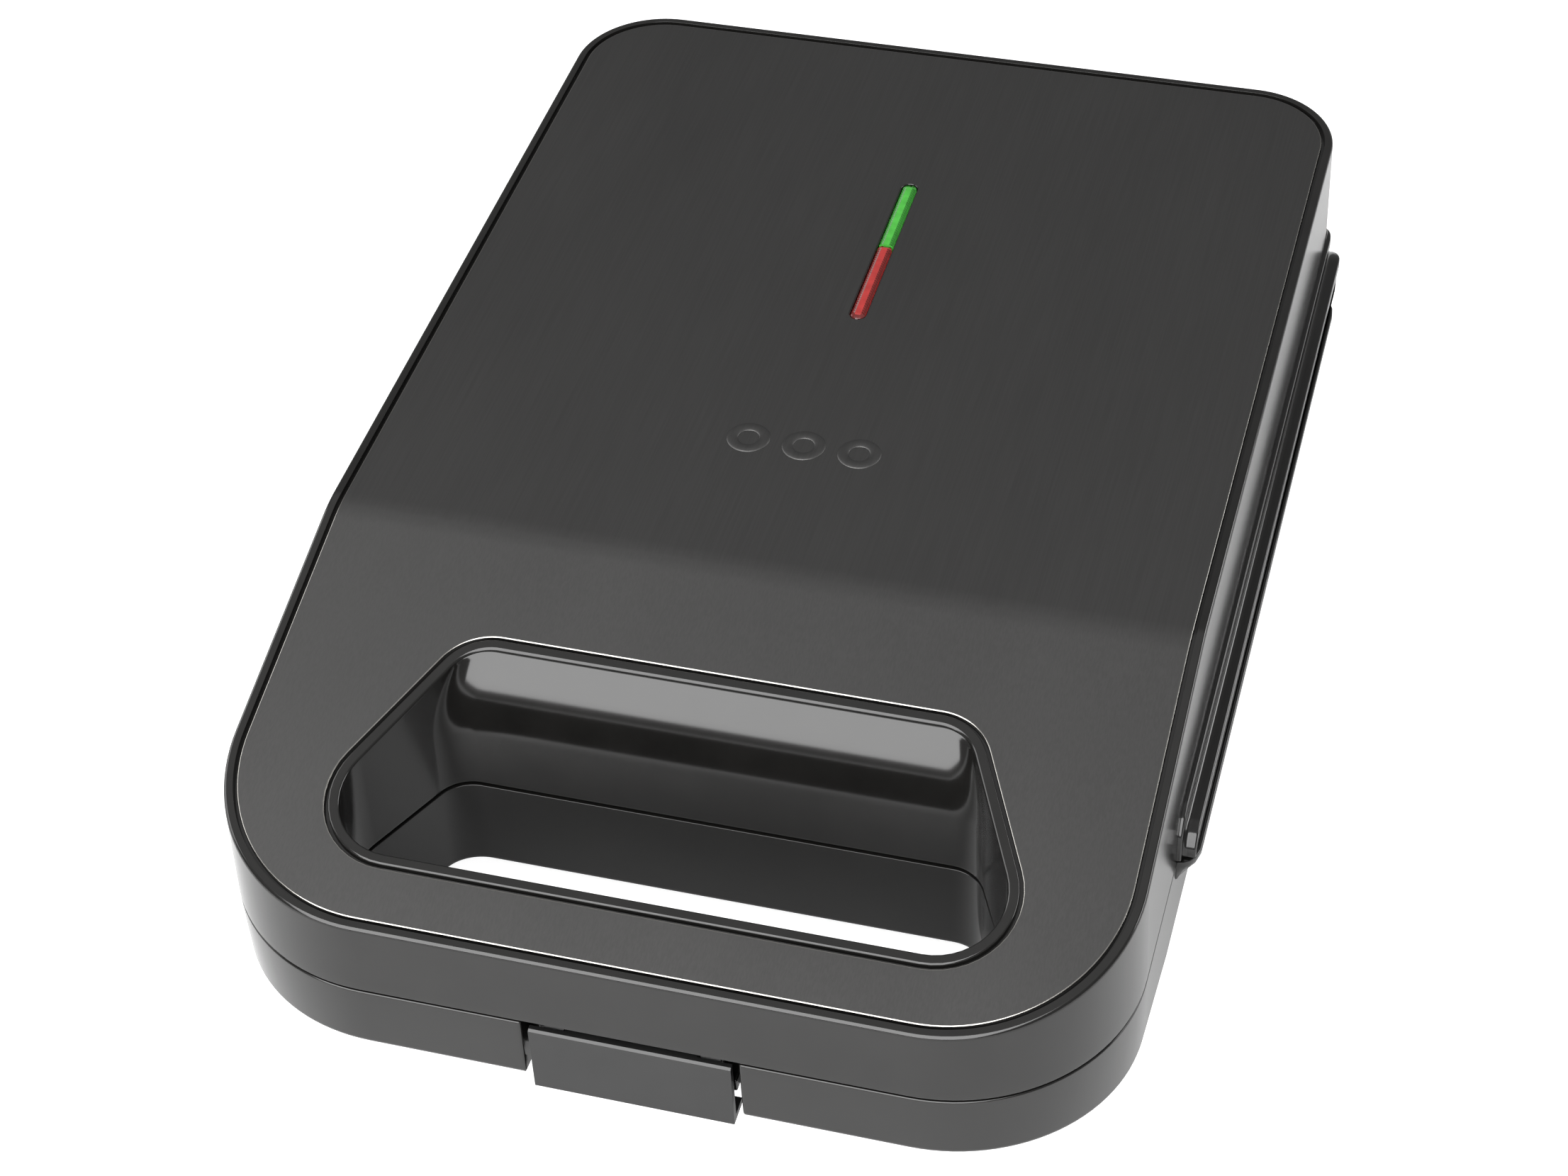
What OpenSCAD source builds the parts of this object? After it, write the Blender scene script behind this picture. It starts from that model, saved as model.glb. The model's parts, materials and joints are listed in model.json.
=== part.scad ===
// Hinged donut maker: two clamshell casings, each with a cast cooking plate,
// a rear hinge, and a latch on the front handle.
// Units are millimetres. +Z is up, the hinge is at +Y and the handle at -Y.
// The origin is under the middle of the appliance, on the surface it stands on.

/* [Casing] */
// Width of the casing, left to right
body_w = 230; // [221:1:260]
// Y of the rear wall
back_y = 170.7; // [168:0.1:176]
// Y of the front of the handle
front_y = -180.8; // [-182:0.1:-178]
// Corner radius at the hinge end
rear_r = 26.4; // [20:0.1:32]
// Corner radius at the handle end
front_r = 47.2; // [40:0.1:52]
// Thickness of the moulded walls
wall = 2.5; // [2:0.1:3]
// Height of the cover plate's flat top
plate_top = 88; // [84:0.5:96]
// Height of the plane where lid and base meet
parting = 39.9; // [38:0.1:42]
// Free gap between lid and base when closed
seam = 0.6; // [0.4:0.1:1]
// Height of the underside of the base
base_bottom = 10; // [8:0.5:12]
// Height of the handle's underside at its front
handle_bottom = 20; // [18:0.5:22]

/* [Cover plate] */
// Thickness of the metal cover plate
plate_t = 1.2; // [0.8:0.1:1.5]
// Distance from the casing's side to the edge of the cover plate
plate_inset = 4; // [3.5:0.1:6]
// Width of the groove round the cover plate
groove = 0.9; // [0.6:0.1:1.2]
// How far the rim stands above the cover plate
rim_proud = 0.3; // [0:0.1:0.6]
// Y where the top starts to bend down towards the handle
bend_y = -60.3; // [-70:0.1:-50]
// Radius of that bend
bend_r = 39; // [25:1:60]
// Slope of the handle's top, in degrees
slope = 13; // [10:0.5:15]

/* [Grip opening] */
// Y of the opening's rear edge in the cover plate
grip_rear_y = -95.9; // [-98:0.1:-92]
// Y of the opening's front edge in the cover plate
grip_front_y = -163; // [-164:0.1:-160]
// Half width of the opening's rear edge, corners left sharp
grip_rear_half = 65.8; // [60:0.1:70]
// Sideways run of the slanted sides for each millimetre towards the front
grip_spread = 0.48; // [0.3:0.01:0.5]
// Radius of the rear corners
grip_rear_r = 15; // [12:0.5:18]
// Radius of the front corners
grip_front_r = 17; // [16:0.5:20]
// Width of the lip between the cover plate and the inner wall
grip_lip = 3.7; // [3.5:0.1:4.5]
// Y of the upright part of the opening's rear wall
grip_wall_y = -109.1; // [-111:0.1:-106]
// Radius of the rounded knuckle above that wall
knuckle_r = 28.3; // [26:0.1:30]
// Height where the knuckle turns upright
knuckle_z = 58.6; // [57:0.1:60]

/* [Side skirts] */
// Y of the skirts' front end
skirt_front = -94; // [-104:1:-90]
// Y of the skirts' rear end
skirt_rear = 155; // [140:1:160]
// How far the upper step of the lid's skirt stands out
skirt_step_1 = 1; // [0.6:0.1:2]
// How far the lower step of the lid's skirt stands out
skirt_step_2 = 4.2; // [3:0.1:5]
// How far the base's rail stands out
rail_out = 5.2; // [4:0.1:6]
// Y of the base rails' rear end
rail_rear = 139; // [120:1:155]
// Height of the lid's skirt above the parting plane
skirt_h = 12.5; // [10:0.5:16]

/* [Cooking plates] */
// Width of a cooking plate
cook_w = 198; // [194:1:200]
// Depth of a cooking plate, front to back
cook_d = 253; // [250:1:255]
// Y of the middle of the cooking plates
cook_y = 26.5; // [26:0.5:27]
// Thickness of a cooking plate's web
cook_t = 3; // [2.5:0.1:3]
// Donut moulds across
columns = 2; // [2]
// Donut moulds front to back
rows = 3; // [3]
// Spacing of the moulds across
pitch_x = 92; // [80:0.5:98]
// Spacing of the moulds front to back
pitch_y = 82; // [76:0.5:84]
// Radius of the circle along the middle of a donut
ring_r = 23; // [21:0.1:23.5]
// Radius of a donut's body
dough_r = 12; // [10:0.1:12]
// Wall thickness of the cast moulds
cast_t = 2; // [1.8:0.1:2]

/* [Latch] */
// Width of the latch plate
latch_w = 50.4; // [44:0.2:54]
// Y of the latch plate's face
latch_face = -181.3; // [-181.5:0.1:-181.1]
// Thickness of the latch plate
latch_t = 1.8; // [1.6:0.1:2]
// Height of the latch's top edge
latch_top = 38.1; // [37.5:0.1:38.5]
// Height of the latch's bottom edge
latch_bottom = 17.3; // [16.5:0.1:17.5]
// Y of the latch's pivot pin
latch_pin_y = -176.7; // [-176.9:0.1:-176.5]
// Height of the latch's pivot pin
latch_pin_z = 35.8; // [35.4:0.1:35.8]

/* [Hinge] */
// Distance of the two hinges from the middle
hinge_x = 70; // [60:1:76]
// Y distance from the rear wall to the hinge axis
hinge_out = 5.6; // [5.4:0.1:6]
// Radius of the hinge knuckles
barrel_r = 5; // [4.5:0.1:5.2]
// Radius of the hinge pins
hinge_pin_r = 2; // [1.5:0.1:2.2]

/* [Indicator] */
// Y of the indicator window's rear end
window_rear = 102; // [96:0.5:106]
// Y of the indicator window's front end
window_front = 38.7; // [34:0.1:44]
// Y where the green lens meets the red one
window_split = 72.6; // [68:0.1:76]
// Width of the indicator window
window_w = 4.4; // [4:0.1:6]

/* [Hidden] */
$fn = 64;

eps = 0.01;
body_half = body_w / 2;
base_top = parting - seam / 2;
lid_bottom = parting + seam / 2;
hinge_y = back_y + hinge_out;
ceiling_drop = plate_t + wall;
leg_cos = 1 / sqrt(1 + grip_spread * grip_spread);
leg_sin = grip_spread * leg_cos;
lower_radius = 10;
frame_t = 5;
ledge = 4;
frame_gap = 0.2;
heater_r = 3.3;
heater_z = base_top - dough_r - cast_t - heater_r - 0.5;
heater_leg_x = pitch_x / 2;
pan_t = 0.8;
pan_floor = heater_z - heater_r - 2;
pan_half_w = cook_w / 2 - 1.5;
pan_rim = 3.5;
notch_half = 27;
notch_depth = 9.3;
notch_y = front_y + notch_depth;
side_boss_x = 106.5;
side_boss_ys = [-84, 26, 128];
front_boss_x = 58;
front_boss_y = -169;
boss_r = 4;
screw_r = 1.5;
screw_head_h = 1.6;
screw_head_well_r = 3.1;
foot_x = 84;
foot_ys = [-74, 146];
foot_r = 9;
foot_h = 4;
plate_screw_x = 88;
plate_screw_ys = [cook_y - pitch_y / 2, cook_y + pitch_y / 2];
gland_z = 24;
gland_bore_r = 3.6;
gland_neck_r = 5.5;
cradle_d = 9;
lamp_r = 2.6;
clamp_x = 8;
clamp_y = 158.5;
clamp_seat = gland_z - 2.5;
clamp_h = 7.5;
catch_d = 2.5;
catch_h = 4;
catch_half = 24;
lug_half = 8;
lug_w = 8;
lug_gap = 0.3;
lug_reach = lug_half + lug_gap + lug_w;
lid_lugs = [[-lug_half, lug_half]];
base_lugs = [[-lug_reach, -lug_half - lug_gap], [lug_half + lug_gap, lug_reach]];
latch_barrel_r = 2.3;
latch_barrel_half = 16.5;
latch_lug_w = 5;
latch_pin_r = 1;
block_x = -39;
block_y = 157;
way_w = 9;
thermostat_x = 45;
thermostat_y = 60;
fuse_y = 20;

// Points along an arc, for the side profiles
function arc(cy, cz, r, a0, a1, steps = 10) =
    [for (i = [0 : steps]) let(a = a0 + (a1 - a0) * i / steps) [cy + r * cos(a), cz + r * sin(a)]];

// Extrudes a profile drawn in Y and Z along X, centred
module along_x(length) {
    rotate([90, 0, 90])
        linear_extrude(length, center = true)
            children();
}

// Keeps a shape and adds its mirror image on the other side
module both_sides() {
    children();
    mirror([1, 0, 0])
        children();
}

// Turns a part of the base into the matching part of the lid
module in_lid() {
    translate([0, 0, 2 * parting])
        mirror([0, 0, 1])
            children();
}

// ---- Outlines seen from above ----

// Casing outline, drawn in by an inset on every side
module body_plan(inset = 0) {
    translate([-body_half + inset, front_y + front_r])
        square([body_w - 2 * inset, back_y - rear_r - front_y - front_r]);
    translate([-body_half + front_r, front_y + inset])
        square([body_w - 2 * front_r, front_r]);
    translate([-body_half + rear_r, back_y - 2 * rear_r])
        square([body_w - 2 * rear_r, 2 * rear_r - inset]);
    both_sides() {
        translate([body_half - front_r, front_y + front_r])
            circle(front_r - inset);
        translate([body_half - rear_r, back_y - rear_r])
            circle(rear_r - inset);
    }
}

// Four-sided outline with rounded corners that widens towards the front
module grip_outline(rear_y, r_rear, inset) {
    rear_half = grip_rear_half + grip_spread * (grip_rear_y - rear_y);
    front_half = grip_rear_half + grip_spread * (grip_rear_y - grip_front_y);
    rear_x = rear_half + grip_spread * r_rear - r_rear / leg_cos;
    front_x = front_half - grip_spread * grip_front_r - grip_front_r / leg_cos;
    rc = r_rear - inset;
    fc = grip_front_r - inset;
    rear_c = rear_y - r_rear;
    front_c = grip_front_y + grip_front_r;
    polygon([
        [-rear_x, rear_c + rc], [rear_x, rear_c + rc],
        [rear_x + rc * leg_cos, rear_c + rc * leg_sin],
        [front_x + fc * leg_cos, front_c + fc * leg_sin],
        [front_x, front_c - fc], [-front_x, front_c - fc],
        [-front_x - fc * leg_cos, front_c + fc * leg_sin],
        [-rear_x - rc * leg_cos, rear_c + rc * leg_sin]
    ]);
    both_sides() {
        translate([rear_x, rear_c])
            circle(rc);
        translate([front_x, front_c])
            circle(fc);
    }
}

// Grip opening where it passes through the cover plate and the lip
module grip_top(inset = 0) {
    grip_outline(grip_rear_y, grip_rear_r, inset);
}

// Grip opening at the upright walls lower down
module grip_low(inset = 0) {
    grip_outline(grip_wall_y + grip_lip, lower_radius + grip_lip, inset);
}

// Rectangle of a cooking plate, grown by a margin, with rounded corners
module cook_plan(margin = 0, r = 9) {
    w = cook_w / 2 + margin;
    d = cook_d / 2 + margin;
    translate([0, cook_y]) {
        square([2 * w, 2 * (d - r)], center = true);
        square([2 * (w - r), 2 * d], center = true);
        for (x = [-1, 1], y = [-1, 1])
            translate([x * (w - r), y * (d - r)])
                circle(r);
    }
}

// Long slot with both ends round
module slot_plan(y0, y1, w) {
    translate([-w / 2, y0 + w / 2])
        square([w, y1 - y0 - w]);
    for (y = [y0 + w / 2, y1 - w / 2])
        translate([0, y])
            circle(w / 2);
}

// ---- Outlines seen from the side ----

// Everything below the lid's top, lowered by a drop
module lid_side(drop, low = lid_bottom) {
    r = bend_r - drop;
    centre_z = plate_top - bend_r;
    end_y = bend_y - r * sin(slope);
    end_z = centre_z + r * cos(slope);
    far_y = front_y - 2;
    polygon(concat(
        [[far_y, low], [back_y + 2, low], [back_y + 2, plate_top - drop]],
        arc(bend_y, centre_z, r, 90, 90 + slope),
        [[far_y, end_z - tan(slope) * (end_y - far_y)]]
    ));
}

// Everything above the base's underside, raised by a lift
module base_side(lift = 0) {
    polygon([
        [back_y + 2, base_bottom + lift], [-100, base_bottom + lift],
        [-138, handle_bottom - 2.8 + lift], [front_y - 2, handle_bottom + lift],
        [front_y - 2, base_top], [back_y + 2, base_top]
    ]);
}

// Skirt outline with round upper corners
module skirt_side(front, rear, low, high, r) {
    translate([front, low])
        square([rear - front, high - low - r]);
    translate([front + r, low])
        square([rear - front - 2 * r, high - low]);
    for (y = [front + r, rear - r])
        translate([y, high - r])
            circle(r);
}

// Room in front of the rounded knuckle, and the narrower way below it
module lid_grip(inset) {
    difference() {
        translate([0, 0, knuckle_z])
            linear_extrude(plate_top)
                grip_top(inset);
        along_x(body_w)
            translate([grip_wall_y + knuckle_r, knuckle_z])
                circle(knuckle_r - grip_lip + inset);
    }
    translate([0, 0, lid_bottom - 1])
        linear_extrude(knuckle_z - lid_bottom + 1)
            grip_low(inset);
}

// ---- Solids shared by several pieces ----

function unit(v) = v / norm(v);

// Direction of a route at one of its points, halfway between the two stretches that meet there
function heading(route, i) =
    unit((i < len(route) - 1 ? unit(route[i + 1] - route[i]) : [0, 0, 0])
         + (i > 0 ? unit(route[i] - route[i - 1]) : [0, 0, 0]));

// Wire swept along a route, as one closed tube
module wire(route, r = 1.1, sides = 10) {
    aside = [0.31, 0.27, 0.91];
    last = len(route) - 1;
    rings = [
        for (i = [0 : last])
            let(t = heading(route, i), u = unit(cross(t, aside)), v = cross(t, u))
            for (k = [0 : sides - 1])
                route[i] + r * (cos(360 * k / sides) * u + sin(360 * k / sides) * v)
    ];
    skin = [
        for (i = [0 : last - 1], k = [0 : sides - 1])
            let(a = i * sides + k, b = i * sides + (k + 1) % sides)
            each [[a, a + sides, b], [b, a + sides, b + sides]]
    ];
    ends = [
        [for (k = [0 : sides - 1]) k],
        [for (k = [sides - 1 : -1 : 0]) last * sides + k]
    ];
    polyhedron(rings, concat(skin, ends));
}

// Pan-head screw pointing up from its seat
module screw(length, head_r = 2.9, head_h = screw_head_h) {
    difference() {
        cylinder(h = head_h, r = head_r, $fn = 32);
        for (a = [0, 90])
            rotate(a)
                translate([-2, -0.4, -eps])
                    cube([4, 0.8, 0.9]);
    }
    translate([0, 0, head_h])
        cylinder(h = length, r = screw_r, $fn = 32);
}

// Positions of the screws that close one casing
module at_bosses() {
    for (y = side_boss_ys)
        both_sides()
            translate([side_boss_x, y])
                children();
    both_sides()
        translate([front_boss_x, front_boss_y])
            children();
}

// Positions of the screws that clamp a cooking plate to its reflector
module at_plate_screws() {
    for (y = plate_screw_ys)
        both_sides()
            translate([plate_screw_x, y])
                children();
}

// Centres of the donut moulds
module at_moulds() {
    for (i = [0 : columns - 1], j = [0 : rows - 1])
        translate([(i - (columns - 1) / 2) * pitch_x, cook_y + (j - (rows - 1) / 2) * pitch_y])
            children();
}

// Two hinge knuckles of one casing; the web runs up or down to the wall
module hinge_lugs(spans, web_low, web_high) {
    for (side = [-1, 1], span = spans)
        translate([side * hinge_x + span[0], 0, 0]) {
            translate([0, hinge_y, parting])
                rotate([0, 90, 0])
                    cylinder(h = span[1] - span[0], r = barrel_r);
            translate([0, back_y - wall / 2, web_low])
                cube([span[1] - span[0], hinge_out + wall / 2, web_high - web_low]);
        }
}

// Bores for the two hinge pins
module hinge_bores() {
    for (side = [-1, 1])
        translate([side * hinge_x - lug_reach - 1, hinge_y, parting])
            rotate([0, 90, 0])
                cylinder(h = 2 * lug_reach + 2, r = hinge_pin_r + 0.05);
}

// ---- Casing pieces ----

// Moulded upper casing with the rim, the grip opening and the skirts
module lid_shell() {
    color([0.06, 0.06, 0.06])
    difference() {
        union() {
            intersection() {
                translate([0, 0, lid_bottom])
                    linear_extrude(plate_top)
                        body_plan();
                along_x(body_w + 2)
                    lid_side(-rim_proud);
            }
            lid_skirts();
            hinge_lugs(lid_lugs, parting, parting + 10);
        }
        plate_pocket();
        difference() {
            intersection() {
                translate([0, 0, lid_bottom - 1])
                    linear_extrude(plate_top)
                        body_plan(wall);
                along_x(body_w)
                    lid_side(ceiling_drop, lid_bottom - 1);
            }
            lid_grip(grip_lip - wall);
            at_bosses()
                translate([0, 0, lid_bottom + frame_t])
                    cylinder(h = 60, r = boss_r);
        }
        lid_grip(grip_lip);
        at_bosses()
            translate([0, 0, lid_bottom])
                cylinder(h = 16, r = screw_r + 0.1);
        translate([0, 0, plate_top - 20])
            linear_extrude(30)
                slot_plan(window_front - 0.1, window_rear + 0.1, window_w + 0.2);
        hinge_bores();
    }
}

// Pocket in the top of the lid that holds the cover plate
module plate_pocket() {
    intersection() {
        translate([0, 0, lid_bottom])
            linear_extrude(plate_top)
                difference() {
                    body_plan(plate_inset - groove);
                    grip_top(groove);
                }
        along_x(body_w)
            difference() {
                lid_side(-5);
                lid_side(plate_t);
            }
    }
}

// Stepped skirts along both long sides of the lid
module lid_skirts() {
    step_h = [skirt_h, skirt_h / 2];
    step_out = [skirt_step_1, skirt_step_2];
    step_r = [skirt_h / 2, skirt_h / 4];
    both_sides()
        for (i = [0, 1])
            translate([body_half - wall / 2, 0, 0])
                rotate([90, 0, 90])
                    linear_extrude(wall / 2 + step_out[i])
                        skirt_side(skirt_front + 2 * i, skirt_rear - 2 * i,
                                   lid_bottom, lid_bottom + step_h[i], step_r[i]);
}

// Brushed metal plate let into the top of the lid
module lid_top_plate() {
    color([0.27, 0.27, 0.27])
    intersection() {
        translate([0, 0, lid_bottom])
            linear_extrude(plate_top)
                difference() {
                    body_plan(plate_inset);
                    grip_top();
                    slot_plan(window_front - 0.1, window_rear + 0.1, window_w + 0.2);
                }
        along_x(body_w)
            difference() {
                lid_side(0);
                lid_side(plate_t);
            }
    }
}

// Moulded lower casing
module base_shell() {
    color([0.06, 0.06, 0.06])
    difference() {
        union() {
            intersection() {
                linear_extrude(base_top)
                    body_plan();
                along_x(body_w + 2)
                    base_side();
            }
            base_rails();
            hinge_lugs(base_lugs, parting - 11, parting);
            for (y = foot_ys)
                both_sides()
                    translate([foot_x, y, foot_h])
                        cylinder(h = base_bottom - foot_h + 1, r = foot_r - 1);
        }
        base_hollow();
        translate([0, 0, -1])
            linear_extrude(base_top + 2)
                grip_low(grip_lip);
        latch_notch();
        at_bosses()
            translate([0, 0, -1])
                cylinder(h = 40, r = screw_r + 0.1);
        at_bosses()
            translate([0, 0, -1])
                cylinder(h = handle_bottom + 2.5, r = screw_head_well_r);
        for (y = foot_ys)
            both_sides()
                translate([foot_x, y, 0])
                    cylinder(h = 20, r = 2.05);
        translate([0, back_y + 1, gland_z])
            rotate([90, 0, 0])
                cylinder(h = 12, r = gland_neck_r + 0.05);
        both_sides()
            translate([clamp_x, clamp_y, base_bottom + wall + 1])
                cylinder(h = gland_z, r = screw_r + 0.1);
        hinge_bores();
    }
    color([0.06, 0.06, 0.06])
        translate([-catch_half, notch_y - catch_d, handle_bottom + 0.6])
            cube([2 * catch_half, catch_d + eps, catch_h]);
}

// Room inside the base, with the walls and screw posts that cross it left standing
module base_hollow() {
    difference() {
        intersection() {
            linear_extrude(base_top + 1)
                body_plan(wall);
            union() {
                along_x(body_w)
                    base_side(wall);
                translate([-body_half, front_y, base_top - 1])
                    cube([body_w, back_y - front_y, 3]);
            }
        }
        linear_extrude(base_top + 2)
            grip_low(grip_lip - wall);
        translate([-notch_half - wall, front_y, 0])
            cube([2 * (notch_half + wall), notch_depth + wall, base_top + 2]);
        at_bosses()
            cylinder(h = base_top - frame_t - 0.1, r = boss_r + 1);
        both_sides()
            translate([clamp_x, clamp_y, 0])
                cylinder(h = clamp_seat, r = 3);
    }
}

// Cut in the front of the base's handle that takes the latch
module latch_notch() {
    translate([-notch_half, front_y - 1, 0])
        cube([2 * notch_half, notch_depth + 1, base_top + 2]);
}

// Rails along both long sides of the base, undercut to meet the wall
module base_rails() {
    rail_h = 2.2;
    undercut = 5;
    both_sides()
        translate([body_half, rail_rear, base_top])
            rotate([90, 0, 0])
                linear_extrude(rail_rear - skirt_front)
                    polygon([
                        [-wall / 2, 0], [rail_out, 0], [rail_out, -rail_h],
                        [0, -rail_h - undercut], [-wall / 2, -rail_h - undercut]
                    ]);
}

// Ring of moulding between a casing's wall and its cooking plate
module inner_frame() {
    color([0.09, 0.09, 0.09])
    difference() {
        translate([0, 0, base_top - frame_t])
            linear_extrude(frame_t)
                difference() {
                    body_plan(wall + frame_gap);
                    cook_plan(-ledge, 6);
                    grip_low(grip_lip - wall - frame_gap);
                }
        translate([0, 0, base_top - cook_t])
            linear_extrude(frame_t)
                cook_plan(frame_gap, 9);
        children();
    }
}

// Frame of the base, cut back behind the latch
module base_inner_frame() {
    inner_frame() {
        translate([-notch_half - wall - frame_gap, front_y, 0])
            cube([2 * (notch_half + wall + frame_gap), notch_depth + wall + frame_gap, base_top + 1]);
        at_bosses()
            translate([0, 0, base_top - frame_t - eps])
                cylinder(h = 4, r = screw_r + 0.1);
    }
}

// Frame of the lid, with the two lugs that carry the latch
module lid_inner_frame() {
    lug_x = latch_barrel_half + 0.5;
    color([0.09, 0.09, 0.09])
    difference() {
        union() {
            in_lid()
                inner_frame()
                    at_bosses()
                        translate([0, 0, base_top - frame_t - 1]) {
                            cylinder(h = frame_t + 2, r = screw_r + 0.1);
                            translate([0, 0, frame_t - 1])
                                cylinder(h = 3, r = screw_head_well_r);
                        }
            both_sides() {
                translate([lug_x, latch_pin_y, latch_pin_z])
                    rotate([0, 90, 0])
                        cylinder(h = latch_lug_w, r = latch_barrel_r);
                translate([lug_x, latch_pin_y, latch_pin_z])
                    cube([latch_lug_w, latch_barrel_r, lid_bottom + 1 - latch_pin_z]);
            }
        }
        translate([-30, latch_pin_y, latch_pin_z])
            rotate([0, 90, 0])
                cylinder(h = 60, r = latch_pin_r + 0.05);
    }
}

// ---- Cooking parts, drawn for the base and mirrored into the lid ----

// Cast plate with ring-shaped moulds that hang below its web
module cooking_plate() {
    color([0.12, 0.12, 0.12])
    difference() {
        union() {
            translate([0, 0, base_top - cook_t])
                linear_extrude(cook_t)
                    cook_plan();
            at_moulds()
                intersection() {
                    translate([0, 0, base_top])
                        rotate_extrude()
                            translate([ring_r, 0])
                                circle(dough_r + cast_t);
                    translate([0, 0, base_top - 20])
                        cylinder(h = 19, r = 40);
                }
            at_moulds()
                translate([0, 0, base_top - 9])
                    cylinder(h = 9, r = ring_r - dough_r + 1);
            at_plate_screws()
                translate([0, 0, base_top - 14])
                    cylinder(h = 13, r = 2.6);
        }
        at_moulds()
            translate([0, 0, base_top])
                rotate_extrude()
                    translate([ring_r, 0])
                        circle(dough_r);
        at_plate_screws()
            translate([0, 0, base_top - 14 - eps])
                cylinder(h = 9, r = screw_r + 0.1);
    }
}

// Tubular heating element bent into a long U behind the moulds
module heater() {
    rear_end = cook_y + cook_d / 2 - 6;
    bend_at = cook_y - cook_d / 2 + 6 + heater_leg_x + heater_r;
    color([0.55, 0.53, 0.5])
    translate([0, 0, heater_z]) {
        both_sides() {
            translate([heater_leg_x, rear_end, 0])
                rotate([90, 0, 0])
                    cylinder(h = rear_end - bend_at, r = heater_r);
            translate([heater_leg_x, rear_end + 2, 0])
                rotate([90, 0, 0])
                    cylinder(h = 2, r = 1);
        }
        translate([0, bend_at, 0])
            rotate([0, 0, 180])
                rotate_extrude(angle = 180)
                    translate([heater_leg_x, 0])
                        circle(heater_r);
    }
}

// Pressed sheet-metal pan that backs the heater and clamps the plate to the frame
module reflector() {
    rim_z = base_top - frame_t - pan_t;
    margin = pan_half_w - cook_w / 2;
    color([0.72, 0.72, 0.7])
    difference() {
        union() {
            translate([0, 0, rim_z])
                linear_extrude(pan_t)
                    cook_plan(margin + pan_rim, 9);
            translate([0, 0, pan_floor - pan_t])
                linear_extrude(rim_z - pan_floor + pan_t + eps)
                    cook_plan(margin, 8);
        }
        translate([0, 0, pan_floor])
            linear_extrude(30)
                cook_plan(margin - pan_t, 7.2);
        at_plate_screws()
            cylinder(h = 40, r = screw_r + 0.1);
    }
}

// Screws that pull the reflector up against the plate, each with its spacer tube
module plate_screws() {
    color([0.7, 0.7, 0.68])
    at_plate_screws() {
        translate([0, 0, pan_floor - pan_t - screw_head_h])
            screw(base_top - 7 - pan_floor + pan_t);
        translate([0, 0, pan_floor])
            difference() {
                cylinder(h = base_top - 14 - pan_floor, r = 2.6);
                translate([0, 0, -1])
                    cylinder(h = 30, r = screw_r + 0.05);
            }
    }
}

module lower_cooking_plate() cooking_plate();
module lower_heater() heater();
module lower_reflector() reflector();
module lower_plate_screws() plate_screws();
module upper_cooking_plate() in_lid() cooking_plate();
module upper_heater() in_lid() heater();
module upper_reflector() in_lid() reflector();
module upper_plate_screws() in_lid() plate_screws();

// ---- Fasteners, feet and wiring ----

// Screws that hold the base's frame, driven from below
module base_screws() {
    seat = handle_bottom + 1.5;
    color([0.7, 0.7, 0.68])
    at_bosses()
        translate([0, 0, seat - screw_head_h])
            screw(base_top - frame_t + 3 - seat);
}

// Screws that hold the lid's frame, driven from the cooking side
module lid_screws() {
    color([0.7, 0.7, 0.68])
    at_bosses()
        translate([0, 0, lid_bottom + 0.4])
            screw(13);
}

// Four rubber feet, each with a plug pushed into the base
module rubber_feet() {
    color([0.05, 0.05, 0.05])
    for (y = foot_ys)
        both_sides()
            translate([foot_x, y, 0]) {
                cylinder(h = foot_h, r = foot_r);
                cylinder(h = base_bottom + wall, r = 2);
            }
}

// Rubber bush where the mains lead enters the rear wall
module cord_gland() {
    flange_t = 3;
    flange_r = 7.5;
    inner_t = 2;
    inner_r = 7;
    color([0.05, 0.05, 0.05])
    translate([0, back_y, gland_z])
        rotate([90, 0, 0])
            difference() {
                union() {
                    translate([0, 0, -flange_t])
                        cylinder(h = flange_t, r = flange_r);
                    cylinder(h = wall, r = gland_neck_r);
                    translate([0, 0, wall])
                        cylinder(h = inner_t, r = inner_r);
                }
                translate([0, 0, -flange_t - 1])
                    cylinder(h = flange_t + wall + inner_t + 2, r = gland_bore_r);
            }
}

// Saddle that grips the lead inside the base
module cord_clamp() {
    width = 22;
    depth = 6;
    color([0.85, 0.85, 0.8])
    difference() {
        translate([-width / 2, clamp_y - depth / 2, clamp_seat])
            cube([width, depth, clamp_h]);
        translate([0, clamp_y + depth, gland_z])
            rotate([90, 0, 0])
                cylinder(h = 2 * depth, r = gland_bore_r);
        translate([-gland_bore_r, clamp_y - depth, 0])
            cube([2 * gland_bore_r, 2 * depth, gland_z]);
        both_sides()
            translate([clamp_x, clamp_y, 0])
                cylinder(h = 40, r = screw_r + 0.1);
    }
}

// Screws of the cord clamp, driven from above
module cord_clamp_screws() {
    color([0.7, 0.7, 0.68])
    both_sides()
        translate([clamp_x, clamp_y, clamp_seat + clamp_h + screw_head_h])
            mirror([0, 0, 1])
                screw(13);
}

// Terminal block that joins the lead to the wiring
module terminal_block() {
    ways = 3;
    depth = 8;
    color([0.9, 0.9, 0.86])
    for (i = [0 : ways - 1])
        translate([block_x + (i - 1) * way_w, block_y, base_bottom + wall])
            difference() {
                cube([way_w + (i < ways - 1 ? eps : 0), depth, 11]);
                translate([way_w / 2, depth / 2, 4])
                    cylinder(h = 8, r = 2);
                translate([way_w / 2, -1, 4.5])
                    rotate([-90, 0, 0])
                        cylinder(h = depth + 2, r = 1.4);
            }
}

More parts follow.
